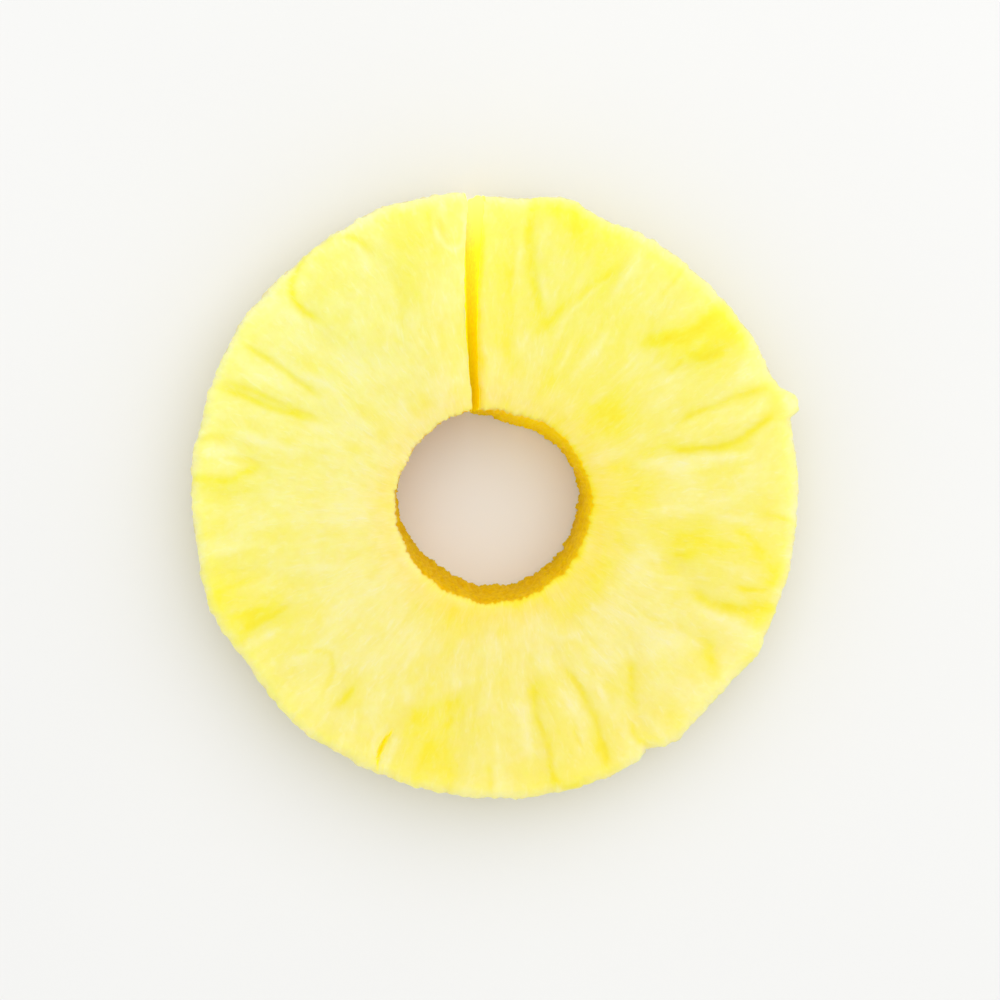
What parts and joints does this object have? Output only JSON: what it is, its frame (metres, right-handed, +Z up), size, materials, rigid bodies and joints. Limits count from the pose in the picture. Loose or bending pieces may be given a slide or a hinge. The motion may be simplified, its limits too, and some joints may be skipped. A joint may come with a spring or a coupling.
{
  "type": "pineapple ring",
  "caption": "Flat ring of peeled pineapple flesh with a round core hole, split by one cut that runs from the rim to the hole.",
  "frame": {"origin": "centre of the bounding box's base, level with the flat underside, inside the core hole", "axes": "+Z up out of the top face, +Y towards the split in the ring, +X to the right when the ring is seen from above with the split at the top"},
  "size_m": [0.089, 0.0886, 0.0141],
  "materials": {
    "flesh": "wet, fibrous, slightly translucent"
  },
  "bodies": {
    "root": {"pineapple_ring": "flesh"}
  },
  "joints": []
}
